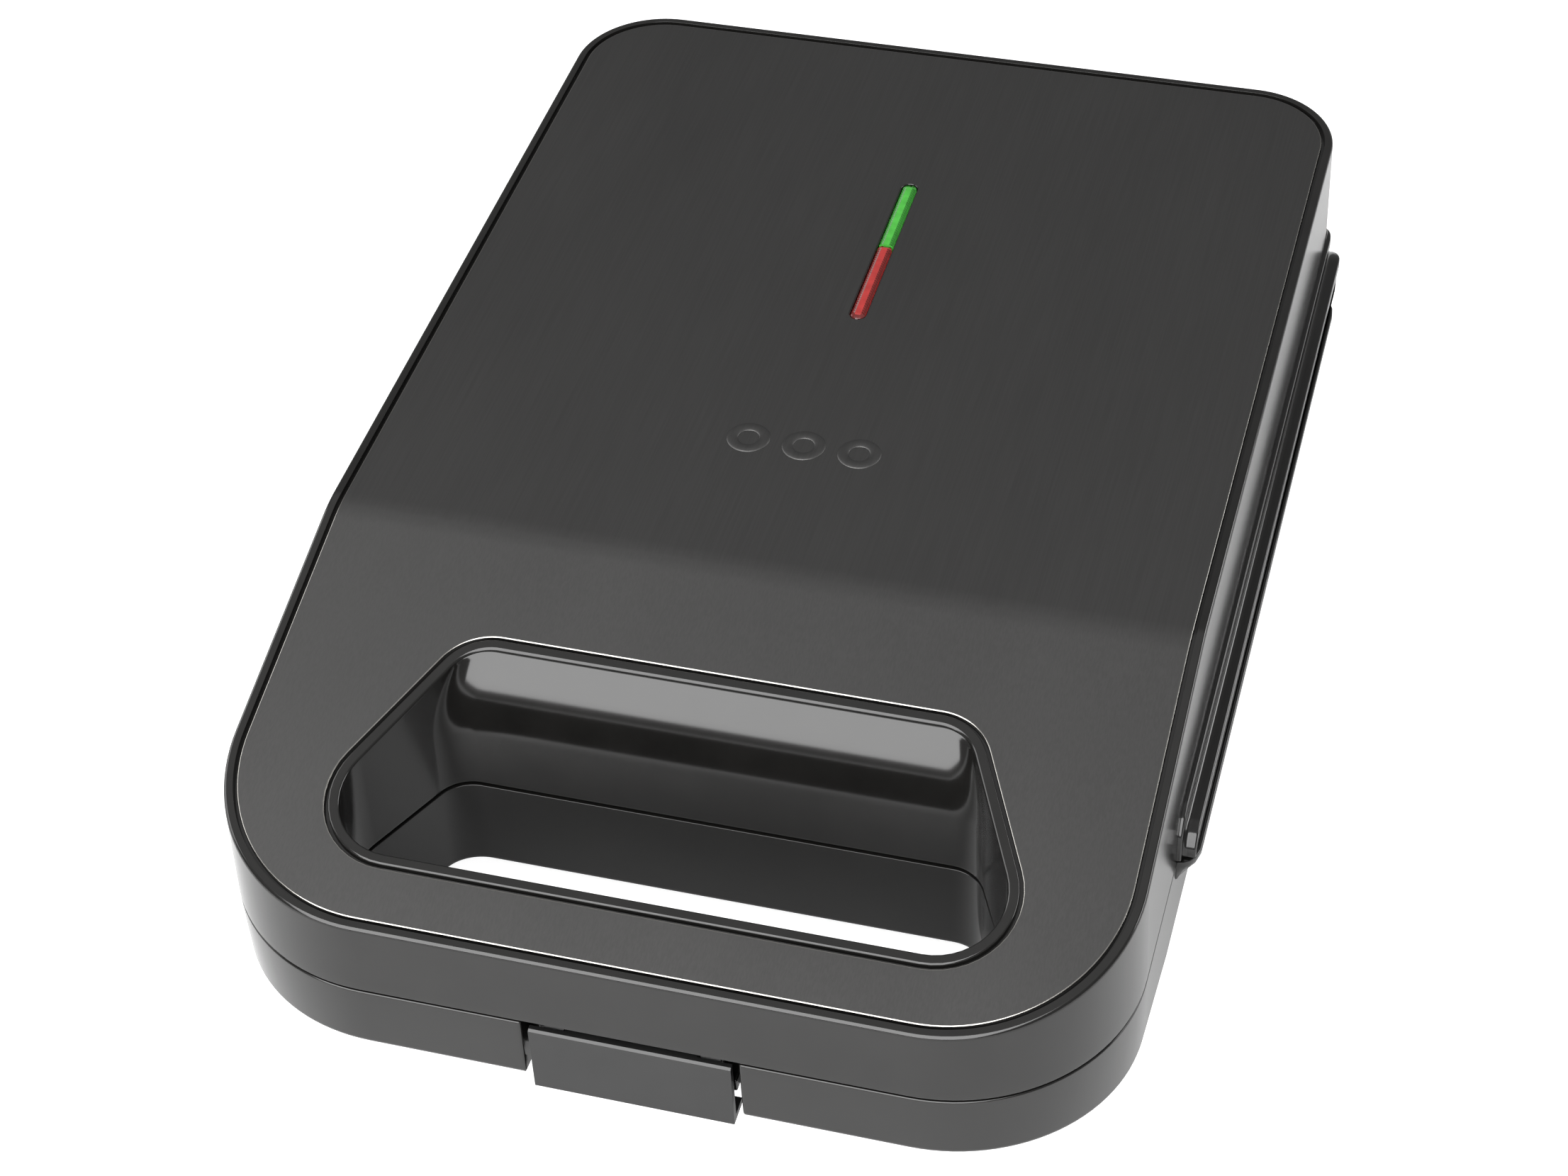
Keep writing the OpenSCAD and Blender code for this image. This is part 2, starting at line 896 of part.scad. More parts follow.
// Wires from the terminal block to the lower heater
module base_wiring() {
    run_y = clamp_y - 6;
    run_z = base_bottom + 4;
    way_z = base_bottom + wall + 4.5;
    color([0.75, 0.72, 0.65])
    for (side = [-1, 1])
        let(x = block_x + way_w / 2 + side * way_w)
            wire([
                [x, block_y + 4, way_z], [x, block_y - 1.5, way_z], [x, run_y, run_z],
                [side * heater_leg_x, run_y, run_z]
            ]);
}

// Steel pins of the two hinges
module hinge_pins() {
    color([0.75, 0.75, 0.75])
    for (side = [-1, 1])
        translate([side * hinge_x - lug_reach - 0.5, hinge_y, parting])
            rotate([0, 90, 0])
                cylinder(h = 2 * lug_reach + 1, r = hinge_pin_r);
}

// ---- Indicator and controls in the lid ----

// One coloured lens of the indicator window, with a flange under the lid's skin
module lens(y0, y1) {
    skin = plate_top - ceiling_drop;
    clip = 0.05;
    intersection() {
        union() {
            translate([0, 0, skin - 0.1])
                linear_extrude(ceiling_drop + 0.1)
                    slot_plan(window_front, window_rear, window_w);
            translate([0, 0, skin - 1.6])
                linear_extrude(1.55)
                    slot_plan(window_front - 2, window_rear + 2, window_w + 4);
        }
        translate([-10, y0 + clip, 0])
            cube([20, y1 - y0 - 2 * clip, 100]);
    }
}

module green_lens() color([0.1, 0.65, 0.2]) lens(window_split, window_rear + 5);
module red_lens() color([0.8, 0.12, 0.1]) lens(window_front - 5, window_split);

// Cradle that holds both lamps under the lenses
module lamp_holder() {
    top = plate_top - ceiling_drop - 1.6;
    length = window_rear - window_front + 6;
    color([0.9, 0.9, 0.86])
    translate([0, (window_front + window_rear) / 2, top - cradle_d])
        difference() {
            translate([-7, -length / 2, 0])
                cube([14, length, cradle_d]);
            for (side = [-1, 1])
                translate([-5.5, side > 0 ? 1 : -length / 2 + 1.5, 1.5])
                    cube([11, length / 2 - 2.5, cradle_d]);
        }
}

// Small neon lamp lying along the window
module lamp(y) {
    translate([0, y, plate_top - ceiling_drop - cradle_d - 0.1 + lamp_r]) {
        rotate([90, 0, 0])
            cylinder(h = 14, r = lamp_r, center = true);
        translate([0, 7, 0])
            sphere(lamp_r);
    }
}

module green_lamp() color([0.5, 0.9, 0.55]) lamp(86);
module red_lamp() color([0.95, 0.5, 0.3]) lamp(54);

// Bimetal thermostat on the back of the upper reflector
module thermostat() {
    seat = 2 * parting - pan_floor + pan_t;
    color([0.55, 0.35, 0.2])
    translate([thermostat_x, thermostat_y, seat]) {
        cylinder(h = 5, r = 9);
        translate([-13, -4, 0])
            cube([26, 8, 1.2]);
        for (side = [-1, 1])
            translate([side * 5 - 1.5, -0.4, 5 - eps])
                cube([3, 0.8, 6]);
    }
}

// Thermal fuse that cuts the supply if the lid overheats
module thermal_fuse() {
    seat = 2 * parting - pan_floor + pan_t;
    color([0.8, 0.78, 0.7])
    translate([thermostat_x, fuse_y, seat + 2.2]) {
        rotate([90, 0, 0])
            cylinder(h = 12, r = 2.1, center = true);
        rotate([90, 0, 0])
            cylinder(h = 20, r = 0.6, center = true);
        translate([-4, -1.5, -2.2])
            cube([8, 3, 2.2]);
    }
}

// Wires between the thermostat, the fuse, the lamps and the upper heater
module lid_wiring() {
    seat = 2 * parting - pan_floor + pan_t;
    run_z = seat + 3;
    tab_z = seat + 8;
    fuse_z = seat + 2.2;
    rear = cook_y + cook_d / 2 + 6;
    tail_x = heater_leg_x + 8;
    tail_z = parting + 20;
    x = thermostat_x;
    y = thermostat_y;
    color([0.75, 0.72, 0.65]) {
        wire([[x, fuse_y + 11.2, fuse_z], [x, fuse_y + 20, run_z], [x - 12, y - 12, run_z],
              [x - 12, y, run_z + 4], [x - 7, y, tab_z]]);
        wire([[x + 7, y, tab_z], [x + 13, y, tab_z - 2], [x + 17, y + 20, run_z],
              [x + 17, 140, run_z], [tail_x, rear, run_z], [tail_x, rear, tail_z]]);
        wire([[x, fuse_y - 11.2, fuse_z], [x - 15, fuse_y - 20, run_z], [12, fuse_y, run_z],
              [12, window_front - 4.7, run_z + 3]]);
        wire([[-12, window_front - 4.7, run_z + 3], [-30, y, run_z], [-40, 140, run_z],
              [-tail_x, rear, run_z], [-tail_x, rear, tail_z]]);
    }
}

// ---- Latch ----

// Flat latch plate with a pivot barrel behind it and an inward lip at the bottom
module latch() {
    lip_y = notch_y - catch_d - 0.4;
    back = latch_face + latch_t;
    bevel = 0.6;
    color([0.07, 0.07, 0.07])
    difference() {
        union() {
            along_x(latch_w)
                polygon([
                    [latch_face, latch_bottom], [latch_face, latch_top - bevel],
                    [latch_face + bevel, latch_top], [back, latch_top], [back, latch_bottom]
                ]);
            translate([-latch_w / 2, latch_face, latch_bottom])
                cube([latch_w, lip_y - latch_face, 2]);
            translate([-latch_barrel_half, latch_pin_y, latch_pin_z])
                rotate([0, 90, 0])
                    cylinder(h = 2 * latch_barrel_half, r = latch_barrel_r);
            translate([-latch_barrel_half, back - eps, latch_pin_z - latch_barrel_r])
                cube([2 * latch_barrel_half, latch_pin_y - back + eps, 2 * latch_barrel_r]);
            for (x = [-13, 0, 13])
                translate([x - 0.8, back - eps, latch_bottom + 1])
                    cube([1.6, 2.4, latch_pin_z - latch_bottom - 1]);
        }
        translate([-30, latch_pin_y, latch_pin_z])
            rotate([0, 90, 0])
                cylinder(h = 60, r = latch_pin_r + 0.05);
    }
}

// Pin that the latch turns on
module latch_pin() {
    color([0.75, 0.75, 0.75])
    translate([-22, latch_pin_y, latch_pin_z])
        rotate([0, 90, 0])
            cylinder(h = 44, r = latch_pin_r);
}

base_shell();
base_inner_frame();
lower_cooking_plate();
lower_heater();
lower_reflector();
lower_plate_screws();
base_screws();
rubber_feet();
terminal_block();
cord_gland();
cord_clamp();
cord_clamp_screws();
base_wiring();
hinge_pins();
lid_shell();
lid_top_plate();
lid_inner_frame();
upper_cooking_plate();
upper_heater();
upper_reflector();
upper_plate_screws();
lid_screws();
green_lens();
red_lens();
lamp_holder();
green_lamp();
red_lamp();
thermostat();
thermal_fuse();
lid_wiring();
latch();
latch_pin();
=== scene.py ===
"""Donut maker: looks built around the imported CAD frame. Lengths are in mm until they reach a mesh."""

import json
import math

import bmesh
import bpy
import numpy as np
from mathutils import Matrix, Vector
from mathutils.geometry import delaunay_2d_cdt

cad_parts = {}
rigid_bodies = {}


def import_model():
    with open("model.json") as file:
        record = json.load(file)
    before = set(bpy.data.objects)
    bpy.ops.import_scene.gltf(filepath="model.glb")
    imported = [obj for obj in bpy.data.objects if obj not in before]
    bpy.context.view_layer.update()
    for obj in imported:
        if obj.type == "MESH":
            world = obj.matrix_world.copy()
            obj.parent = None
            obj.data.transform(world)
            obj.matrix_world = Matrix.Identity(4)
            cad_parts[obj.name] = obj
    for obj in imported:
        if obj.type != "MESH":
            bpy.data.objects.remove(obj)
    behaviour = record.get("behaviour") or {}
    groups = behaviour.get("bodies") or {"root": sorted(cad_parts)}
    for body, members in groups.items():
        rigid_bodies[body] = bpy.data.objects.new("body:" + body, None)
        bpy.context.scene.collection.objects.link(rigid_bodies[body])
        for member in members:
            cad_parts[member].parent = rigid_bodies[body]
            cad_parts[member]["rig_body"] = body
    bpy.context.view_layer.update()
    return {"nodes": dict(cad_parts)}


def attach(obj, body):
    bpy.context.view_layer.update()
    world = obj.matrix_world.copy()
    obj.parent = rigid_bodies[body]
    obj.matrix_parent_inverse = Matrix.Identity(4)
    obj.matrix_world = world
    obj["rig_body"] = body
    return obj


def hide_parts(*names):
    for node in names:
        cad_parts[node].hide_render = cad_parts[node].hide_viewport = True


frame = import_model()
NODES = frame["nodes"]

# ---------------------------------------------------------------- sizes, the same as the CAD's
BODY_HALF = 115.0
BACK_Y = 170.7
FRONT_Y = -180.8
REAR_R = 26.4
FRONT_R = 47.2
WALL = 2.5
PLATE_TOP = 88.0
LID_Z = 40.2
BASE_Z = 39.6
PARTING = 39.9
PLATE_T = 1.2
PLATE_INSET = 4.0
GROOVE = 0.9
RIM_PROUD = 0.3
BEND_Y = -60.3
BEND_R = 39.0
SLOPE = math.radians(13)
GRIP_REAR_Y = -95.9
GRIP_FRONT_Y = -163.0
GRIP_REAR_HALF = 65.8
GRIP_SPREAD = 0.48
GRIP_REAR_R = 15.0
GRIP_FRONT_R = 20.0
GRIP_LIP = 3.7
GRIP_WALL_Y = -109.1
GRIP_WALL_R = 10.0  # corner radius at the opening's rear wall
GRIP_LIP_R = 11.3  # the same corner at the lip
SEAT_E = 1.52  # depth of the cover plate's seat below the rim
KNUCKLE_R = 28.3  # rounded rear edge of the grip opening
KNUCKLE_Z = 58.6
HINGE_X = 70.0
HINGE_Y = BACK_Y + 5.6
HINGE_R = 5.0
SKIRT_FRONT = -94.0
SKIRT_REAR = 155.0
SKIRT_OUT = (1.0, 4.2)
SKIRT_H = (12.5, 6.2)
RAIL_OUT = 5.2
RAIL_REAR = 139.0
SCREW_WELLS = [(106.5, -84), (106.5, 26), (106.5, 128), (58, -169)]
FEET = [(84, -74), (84, 146)]
NOTCH_HALF = 27.0
NOTCH_DEPTH = 9.3
WINDOW = (38.7, 102.0)
WINDOW_SPLIT = 72.6
WINDOW_W = 4.4
DRAFT = 0.7

WELD = 1e-6  # m, vertices nearer than this become one

BEND_END_Y = BEND_Y - BEND_R * math.sin(SLOPE)
BEND_END_Z = PLATE_TOP - BEND_R * (1 - math.cos(SLOPE))
BEND_YS = [BEND_Y + (BEND_END_Y - BEND_Y) * i / 6 for i in range(7)]


def top_z(y):
    """Height of the cover plate's top at a given y."""
    if y >= BEND_Y:
        return PLATE_TOP
    if y >= BEND_END_Y:
        return PLATE_TOP - BEND_R + math.sqrt(BEND_R**2 - (y - BEND_Y) ** 2)
    return BEND_END_Z - math.tan(SLOPE) * (BEND_END_Y - y)


def under_z(y):
    """Height of the base's underside at a given y."""
    return float(np.interp(y, [-182.8, -138, -100, 200], [20, 17.2, 10, 10]))


# ---------------------------------------------------------------- closed outlines with rounded corners
class Outline:
    """A counter-clockwise polygon with rounded corners; at(d) gives it moved inwards by d."""

    def __init__(self, corners, radii, seg=14, cuts=(), pad=0.8, fractions=()):
        self.rows = []
        n = len(corners)
        corners = [np.array(c, float) for c in corners]
        unit = lambda v: v / np.linalg.norm(v)
        data = []
        for i in range(n):
            k, a, b = corners[i], corners[i - 1], corners[(i + 1) % n]
            d0, d1 = unit(k - a), unit(b - k)
            n0, n1 = np.array([d0[1], -d0[0]]), np.array([d1[1], -d1[0]])
            turn = d0[0] * d1[1] - d0[1] * d1[0]
            half = math.acos(max(-1, min(1, d0 @ d1))) / 2
            r = radii[i]
            run = r * math.tan(half)
            data.append((k, d0, d1, n0, n1, turn, r, run))
        for i in range(n):
            k, d0, d1, n0, n1, turn, r, run = data[i]
            sign = 1 if turn > 0 else -1
            c = k - d0 * run - n0 * r * sign
            steps = seg if isinstance(seg, int) else seg[i]
            for j in range(steps + 1):
                t = j / steps
                ang = math.acos(max(-1, min(1, n0 @ n1)))
                if ang < 1e-9:
                    m = n0
                else:
                    m = (math.sin((1 - t) * ang) * n0 + math.sin(t * ang) * n1) / math.sin(ang)
                self.rows.append(("arc", c, m, r * sign, k, n0, n1))
            k2, e0, _, _, _, _, _, run2 = data[(i + 1) % n]
            p, q = k + d1 * run, k2 - e0 * run2
            length = np.linalg.norm(q - p)
            ts = []
            if length > 4 * pad:
                ts += [pad / length, 1 - pad / length]
            ts += [f for f in fractions if pad / length < f < 1 - pad / length]
            if abs(q[1] - p[1]) > 1e-6:
                ts += [(y - p[1]) / (q[1] - p[1]) for y in cuts]
            for t in sorted(t for t in set(round(t, 7) for t in ts) if 1e-4 < t < 1 - 1e-4):
                self.rows.append(("line", p + (q - p) * t, n1, 0, None, None, None))

    def at(self, d):
        out = []
        for kind, c, m, r, k, n0, n1 in self.rows:
            if kind == "line":
                out.append(c - m * d)
            elif r > 0 and d > r:
                out.append(k - (n0 + n1) / (1 + n0 @ n1) * d)
            elif r < 0:
                out.append(c - m * (d - r))
            else:
                out.append(c + m * (r - d))
        return np.array(out)


def ring(outline, d, z):
    """Points of one loop: z is a number or a function of y."""
    p = outline.at(d)
    zs = [z(y) if callable(z) else z for y in p[:, 1]]
    return np.column_stack([p, zs])


def circle(cx, cy, r, z, n=28):
    """Round loop; z is a number or a function of y."""
    out = []
    for i in range(n):
        a = 2 * math.pi * i / n
        y = cy + r * math.sin(a)
        out.append((cx + r * math.cos(a), y, z(y) if callable(z) else z))
    return out


# ---------------------------------------------------------------- meshes
class Shape:
    """Gathers vertices and faces, then makes one smooth-shaded object."""

    def __init__(self):
        self.v, self.f, self.m = [], [], []

    def add(self, points):
        start = len(self.v)
        self.v += [tuple(p) for p in points]
        return list(range(start, start + len(points)))

    def bridge(self, a, b, mat=0):
        n = len(a)
        for i in range(n):
            j = (i + 1) % n
            self.f.append((a[i], a[j], b[j], b[i]))
            self.m.append(mat)

    def loft(self, rings, mat=0):
        ids = [self.add(r) for r in rings]
        for a, b in zip(ids, ids[1:]):
            self.bridge(a, b, mat)
        return ids

    def cap(self, ids):
        self.f.append(tuple(ids))
        self.m.append(0)

    def fill(self, loops, holes, up, z, lines):
        """Fills the region between id loops by a constrained triangulation, with extra break lines."""
        ids, edges = [], []
        for loop in list(loops) + list(holes):
            k = len(ids)
            ids += loop
            edges += [(k + i, k + (i + 1) % len(loop)) for i in range(len(loop))]
        pts = [Vector(self.v[i][:2]) for i in ids]
        where = {i: j for j, i in enumerate(ids)}
        edges += [(where[a], where[b]) for a, b in lines]
        vo, _, fo, ov, _, _ = delaunay_2d_cdt(pts, edges, [], 1, 1e-5)
        remap = []
        for p, orig in zip(vo, ov):
            if orig:
                remap.append(ids[orig[0]])
            else:
                remap.append(self.add([(p.x, p.y, z(p.y))])[0])
        hole_polys = [np.array([self.v[i][:2] for i in h]) for h in holes]
        for tri in fo:
            c = np.mean([tuple(vo[i]) for i in tri], axis=0)
            if any(inside(c, h) for h in hole_polys):
                continue
            t = [remap[i] for i in tri]
            if len(set(t)) < 3:
                continue
            self.f.append(tuple(t) if up else tuple(reversed(t)))
            self.m.append(0)

    def make(self, name, mats, angle, weighted=True):
        me = bpy.data.meshes.new(name)
        me.from_pydata([(x * 0.001, y * 0.001, z * 0.001) for x, y, z in self.v], [], self.f)
        for m in mats if isinstance(mats, (list, tuple)) else [mats]:
            me.materials.append(m)
        me.polygons.foreach_set("material_index", self.m)
        bm = bmesh.new()
        bm.from_mesh(me)
        bmesh.ops.remove_doubles(bm, verts=bm.verts, dist=WELD)
        bmesh.ops.recalc_face_normals(bm, faces=bm.faces)
        bm.to_mesh(me)
        bm.free()
        o = bpy.data.objects.new(name, me)
        bpy.context.scene.collection.objects.link(o)
        smooth(o, angle, weighted)
        return o


def inside(p, poly):
    """Whether a point lies in a polygon, by counting crossings."""
    x, y = p
    a, b = poly, np.roll(poly, -1, axis=0)
    cross = ((a[:, 1] > y) != (b[:, 1] > y)) & (
        x < (b[:, 0] - a[:, 0]) * (y - a[:, 1]) / np.where(b[:, 1] == a[:, 1], 1, b[:, 1] - a[:, 1]) + a[:, 0]
    )
    return bool(cross.sum() % 2)


def smooth(o, angle, weighted=True):
    o.data.polygons.foreach_set("use_smooth", [True] * len(o.data.polygons))
    o.data.set_sharp_from_angle(angle=math.radians(angle))
    if weighted:
        w = o.modifiers.new("weighted", "WEIGHTED_NORMAL")
        w.keep_sharp = True
        w.weight = 60
    return o


def cad_copy(node, name, mat, width):
    """A piece with the CAD node's own shape, welded, with its sharp edges rounded over."""
    src = NODES[node]
    me = src.data.copy()
    me.name = name
    bm = bmesh.new()
    bm.from_mesh(me)
    for layer in list(bm.loops.layers.uv):
        bm.loops.layers.uv.remove(layer)
    bmesh.ops.remove_doubles(bm, verts=bm.verts, dist=2e-6)
    bmesh.ops.dissolve_limit(bm, angle_limit=math.radians(0.6), verts=bm.verts, edges=bm.edges)
    lim = math.radians(32)

    def sharp(e):
        return len(e.link_faces) == 2 and e.calc_face_angle(0) > lim

    es = [e for e in bm.edges if sharp(e)]
    if es:
        bmesh.ops.bevel(
            bm, geom=es, offset=width * 0.001, offset_type="OFFSET", segments=3,
            profile=0.5, affect="EDGES", clamp_overlap=True, miter_outer="ARC",
        )
    bm.to_mesh(me)
    bm.free()
    me.materials.clear()
    me.materials.append(mat)
    me.polygons.foreach_set("material_index", [0] * len(me.polygons))
    for a in [a.name for a in me.attributes if a.name == "custom_normal"]:
        me.attributes.remove(me.attributes[a])
    o = bpy.data.objects.new(name, me)
    bpy.context.scene.collection.objects.link(o)
    smooth(o, 38)
    finish_piece(o, src["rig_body"], [node])
    return o


def finish_piece(o, body, replaces=()):
    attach(o, body)
    if replaces:
        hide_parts(*replaces)
    return o


# ---------------------------------------------------------------- materials
def shades(color, low, high, top=1.15):
    """Two colour stops: the colour darkened below low and lightened above high."""
    return [(low, tuple(x * 0.85 for x in color)), (high, tuple(min(1, x * top) for x in color))]


def new_material(name):
    m = bpy.data.materials.new(name)
    m.use_nodes = True
    nt = m.node_tree
    nt.nodes.clear()
    out = nt.nodes.new("ShaderNodeOutputMaterial")
    bs = nt.nodes.new("ShaderNodeBsdfPrincipled")
    nt.links.new(bs.outputs[0], out.inputs[0])
    return m, nt, bs


def node(nt, kind, **values):
    n = nt.nodes.new(kind)
    for k, v in values.items():
        if k in n.inputs:
            n.inputs[k].default_value = v
        else:
            setattr(n, k, v)
    return n


def coords(nt, scale=(1, 1, 1)):
    tc = node(nt, "ShaderNodeTexCoord")
    mp = node(nt, "ShaderNodeMapping")
    mp.inputs["Scale"].default_value = scale
    nt.links.new(tc.outputs["Object"], mp.inputs["Vector"])
    return mp.outputs[0]


def noise(nt, scale, freq, detail=3.0, rough=0.5):
    n = node(nt, "ShaderNodeTexNoise")
    n.inputs["Scale"].default_value = freq
    n.inputs["Detail"].default_value = detail
    n.inputs["Roughness"].default_value = rough
    nt.links.new(coords(nt, scale), n.inputs["Vector"])
    return n.outputs["Fac"]


def ramp(nt, fac, stops):
    r = node(nt, "ShaderNodeValToRGB")
    while len(r.color_ramp.elements) < len(stops):
        r.color_ramp.elements.new(0.5)
    for e, (p, c) in zip(r.color_ramp.elements, stops):
        e.position = p
        e.color = (*c, 1) if isinstance(c, tuple) else (c, c, c, 1)
    nt.links.new(fac, r.inputs[0])
    return r.outputs[0]


def span(nt, fac, lo, hi):
    n = node(nt, "ShaderNodeMapRange")
    n.inputs["To Min"].default_value = lo
    n.inputs["To Max"].default_value = hi
    nt.links.new(fac, n.inputs["Value"])
    return n.outputs["Result"]


def bump(nt, bs, height, distance, strength=1.0, chain=None):
    b = node(nt, "ShaderNodeBump")
    b.inputs["Strength"].default_value = strength
    b.inputs["Distance"].default_value = distance
    nt.links.new(height, b.inputs["Height"])
    if chain is not None:
        nt.links.new(chain, b.inputs["Normal"])
    nt.links.new(b.outputs[0], bs.inputs["Normal"])
    return b.outputs[0]


def plastic(name, color, rough=(0.12, 0.2), grain=None, grain_d=2e-6, wave=1.5e-5):
    """Moulded plastic: a base colour with faint mottling, uneven polish and a slight sink wave."""
    m, nt, bs = new_material(name)
    c = ramp(nt, noise(nt, (1, 1, 1), 90, 4), shades(color, 0.3, 0.7))
    nt.links.new(c, bs.inputs["Base Color"])
    nt.links.new(span(nt, noise(nt, (1, 1, 1), 38, 5, 0.6), *rough), bs.inputs["Roughness"])
    bs.inputs["IOR"].default_value = 1.5
    chain = bump(nt, bs, noise(nt, (1, 1, 1), 26, 2), wave, 0.6)
    if grain:
        bump(nt, bs, noise(nt, (1, 1, 1), grain, 3, 0.6), grain_d, 0.8, chain)
    return m


def brushed(name, color, rough, aniso):
    """Metal brushed along Y: stretched noise drives colour, roughness and fine grooves."""
    m, nt, bs = new_material(name)
    streak = noise(nt, (1, 0.012, 1), 2600, 3, 0.6)
    blotch = noise(nt, (1, 0.35, 1), 22, 3, 0.55)
    lo, hi = tuple(x * 0.95 for x in color), tuple(min(1, x * 1.05) for x in color)
    c1 = ramp(nt, streak, [(0.35, lo), (0.65, hi)])
    mix = node(nt, "ShaderNodeMix", data_type="RGBA", blend_type="MULTIPLY")
    mix.inputs[0].default_value = 1.0
    nt.links.new(c1, mix.inputs[6])
    nt.links.new(ramp(nt, blotch, [(0.3, 0.93), (0.7, 1.0)]), mix.inputs[7])
    nt.links.new(mix.outputs[2], bs.inputs["Base Color"])
    nt.links.new(span(nt, streak, *rough), bs.inputs["Roughness"])
    bs.inputs["Metallic"].default_value = 1.0
    bs.inputs["Anisotropic"].default_value = aniso
    tan = node(nt, "ShaderNodeTangent", direction_type="UV_MAP")
    nt.links.new(tan.outputs[0], bs.inputs["Tangent"])
    bump(nt, bs, streak, 1.2e-6, 0.25)
    return m


def metal(name, color, rough=(0.2, 0.35), freq=300, depth=2e-6):
    m, nt, bs = new_material(name)
    n = noise(nt, (1, 1, 1), freq, 4, 0.6)
    nt.links.new(ramp(nt, n, shades(color, 0.3, 0.7, 1.1)), bs.inputs["Base Color"])
    nt.links.new(span(nt, noise(nt, (1, 1, 1), 80, 4), *rough), bs.inputs["Roughness"])
    bs.inputs["Metallic"].default_value = 1.0
    bump(nt, bs, n, depth, 0.5)
    return m


def lens_material(name, color, glow):
    m, nt, bs = new_material(name)
    c = ramp(nt, noise(nt, (1, 1, 1), 350, 2), shades(color, 0.3, 0.7, 1.1))
    nt.links.new(c, bs.inputs["Base Color"])
    nt.links.new(c, bs.inputs["Emission Color"])
    bs.inputs["Emission Strength"].default_value = glow
    nt.links.new(span(nt, noise(nt, (1, 1, 1), 600, 2), 0.14, 0.24), bs.inputs["Roughness"])
    bs.inputs["Transmission Weight"].default_value = 0.25
    bs.inputs["IOR"].default_value = 1.49
    return m


CASING = plastic("casing_gloss_black", (0.0055, 0.0053, 0.005), (0.12, 0.15), wave=6e-6)
LATCH = plastic("latch_satin_black", (0.007, 0.007, 0.007), (0.26, 0.32), grain=2600, grain_d=3e-6)
FRAME = plastic("frame_black", (0.02, 0.02, 0.02), (0.4, 0.5), grain=1600, grain_d=1e-5)
PLATE = brushed("cover_plate_brushed", (0.093, 0.092, 0.091), (0.46, 0.52), 0.4)
PLATE_EDGE = metal("cover_plate_edge", (0.34, 0.33, 0.31), (0.18, 0.26), 900, 1e-6)
COOK = plastic("non_stick_coating", (0.022, 0.022, 0.024), (0.28, 0.38), grain=2200, grain_d=6e-6)
HEATER = metal("heater_tube", (0.32, 0.29, 0.26), (0.35, 0.5))
REFLECTOR = metal("reflector_sheet", (0.75, 0.75, 0.74), (0.25, 0.4), 160)
STEEL = metal("zinc_plated_steel", (0.62, 0.62, 0.6), (0.2, 0.32))
RUBBER = plastic("rubber", (0.018, 0.018, 0.018), (0.6, 0.75), grain=900, grain_d=2e-5)
CERAMIC = plastic("ceramic_block", (0.78, 0.76, 0.7), (0.45, 0.6), grain=700, grain_d=1e-5)
NYLON = plastic("nylon", (0.72, 0.71, 0.66), (0.35, 0.45), grain=900, grain_d=4e-6)
SLEEVE = plastic("wire_sleeve", (0.6, 0.57, 0.48), (0.7, 0.85), grain=1800, grain_d=4e-5)
PHENOLIC = plastic("phenolic", (0.18, 0.08, 0.035), (0.3, 0.4), grain=500, grain_d=4e-6)
GREEN = lens_material("green_lens", (0.055, 0.33, 0.042), 0.1)
RED = lens_material("red_lens", (0.32, 0.028, 0.026), 0.08)
# Darker copies of the lens colours, laid on as painted shade at the dipping lens ends and between the flank
# teeth
GREEN_PAINTED_SHADE = lens_material("green_lens_painted_shade", (0.02, 0.15, 0.016), 0.03)
RED_PAINTED_SHADE = lens_material("red_lens_painted_shade", (0.1, 0.009, 0.008), 0.03)
LAMP = lens_material("lamp_glass", (0.9, 0.8, 0.65), 0.0)

# ---------------------------------------------------------------- outlines
SIDE_YS = BEND_YS + [-120, -95, -80, -40, 0, 40, 80, 120]
body = Outline(
    [(BODY_HALF, FRONT_Y), (BODY_HALF, BACK_Y), (-BODY_HALF, BACK_Y), (-BODY_HALF, FRONT_Y)],
    [FRONT_R, REAR_R, REAR_R, FRONT_R], seg=[28, 22, 22, 28], cuts=SIDE_YS, fractions=(0.25, 0.5, 0.75),
)


def grip(rear_y, rear_r):
    """Outline of the grip opening, widening towards the front."""
    rear = GRIP_REAR_HALF + GRIP_SPREAD * (GRIP_REAR_Y - rear_y)
    front = GRIP_REAR_HALF + GRIP_SPREAD * (GRIP_REAR_Y - GRIP_FRONT_Y)
    return Outline(
        [(front, GRIP_FRONT_Y), (rear, rear_y), (-rear, rear_y), (-front, GRIP_FRONT_Y)],
        [GRIP_FRONT_R, rear_r, rear_r, GRIP_FRONT_R], seg=14, fractions=(0.2, 0.4, 0.6, 0.8),
    )


grip_top = grip(GRIP_REAR_Y, GRIP_REAR_R)
grip_low = grip(GRIP_WALL_Y + GRIP_LIP, GRIP_WALL_R + GRIP_LIP)


def quarter(d0, z0, d1, z1, n, convex_first):
    """Offsets along a quarter ellipse; convex_first keeps d moving slowly at the start."""
    out = []
    for i in range(n + 1):
        a = math.pi / 2 * i / n
        if convex_first:
            out.append((d0 + (d1 - d0) * (1 - math.cos(a)), z0 + (z1 - z0) * math.sin(a)))
        else:
            out.append((d0 + (d1 - d0) * math.sin(a), z0 + (z1 - z0) * (1 - math.cos(a))))
    return out


def drop(e):
    """Height function of a line that runs e below the rim."""
    return lambda y: top_z(y) + RIM_PROUD - e


